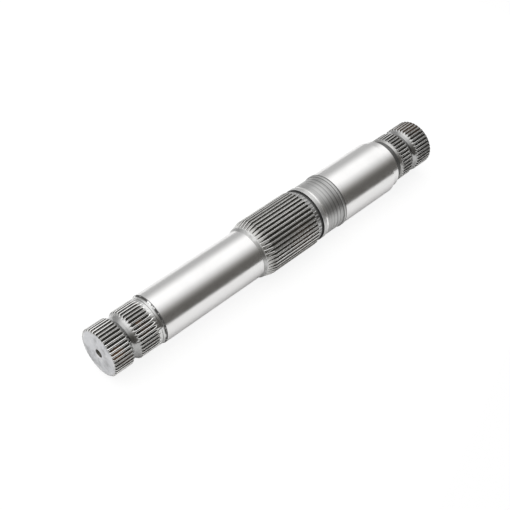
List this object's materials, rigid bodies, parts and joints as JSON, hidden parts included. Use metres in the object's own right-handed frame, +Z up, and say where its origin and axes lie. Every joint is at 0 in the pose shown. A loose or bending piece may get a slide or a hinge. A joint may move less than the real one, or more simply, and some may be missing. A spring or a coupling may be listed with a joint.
{
  "type": "hydraulic lift arm shaft",
  "caption": "Solid steel cross shaft with splined ends and a splined middle, two ground bearing journals and round clamp-bolt grooves; carries the lift arms of a hydraulic lift.",
  "frame": {"origin": "on the shaft's axis, halfway between the two end faces", "axes": "+X along the axis towards the thicker journal; +Z up with the shaft lying level, and a tooth gap of every spline faces straight up and straight down"},
  "size_m": [0.4318, 0.0598, 0.0598],
  "materials": {
    "steel": "bare steel: ground bright on the journals, cutter-dark in the spline gaps, fine turned marks on the ends and lands"
  },
  "bodies": {
    "root": {"lift_arm_shaft": "steel"}
  },
  "joints": []
}
